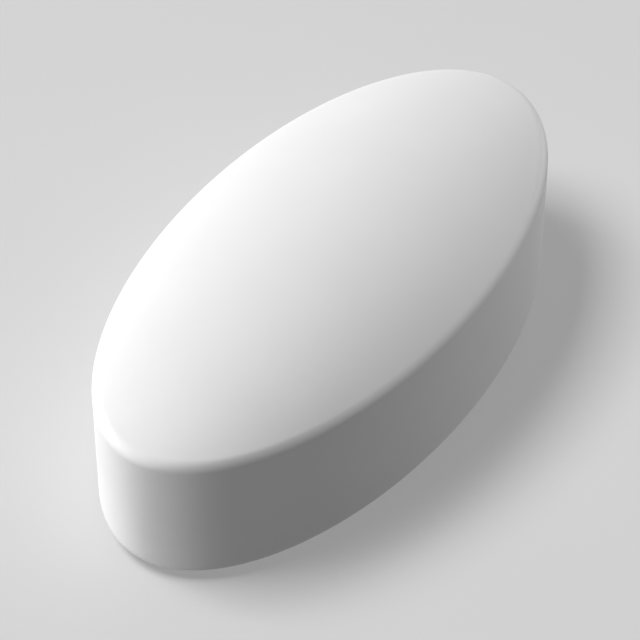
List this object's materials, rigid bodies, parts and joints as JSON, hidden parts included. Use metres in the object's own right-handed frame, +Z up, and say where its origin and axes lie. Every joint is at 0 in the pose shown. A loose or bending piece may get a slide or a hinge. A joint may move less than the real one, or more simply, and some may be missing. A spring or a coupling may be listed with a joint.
{
  "type": "magnetic stir bar",
  "caption": "Elliptical magnetic stir bar: a smooth white PTFE jacket with a domed crown and a flat underside, moulded round a sealed rod magnet.",
  "frame": {"origin": "middle of the flat underside that the bar stands on", "axes": "+X along the bar's length, +Y across its width, +Z up through the crown"},
  "size_m": [0.04, 0.0204, 0.0146],
  "materials": {
    "ptfe": "smooth, waxy, moulded white PTFE",
    "magnet_alloy": "ground rod of cast magnet alloy, dark grey"
  },
  "bodies": {
    "root": {"ptfe_jacket": "ptfe", "bar_magnet": "magnet_alloy"}
  },
  "joints": []
}
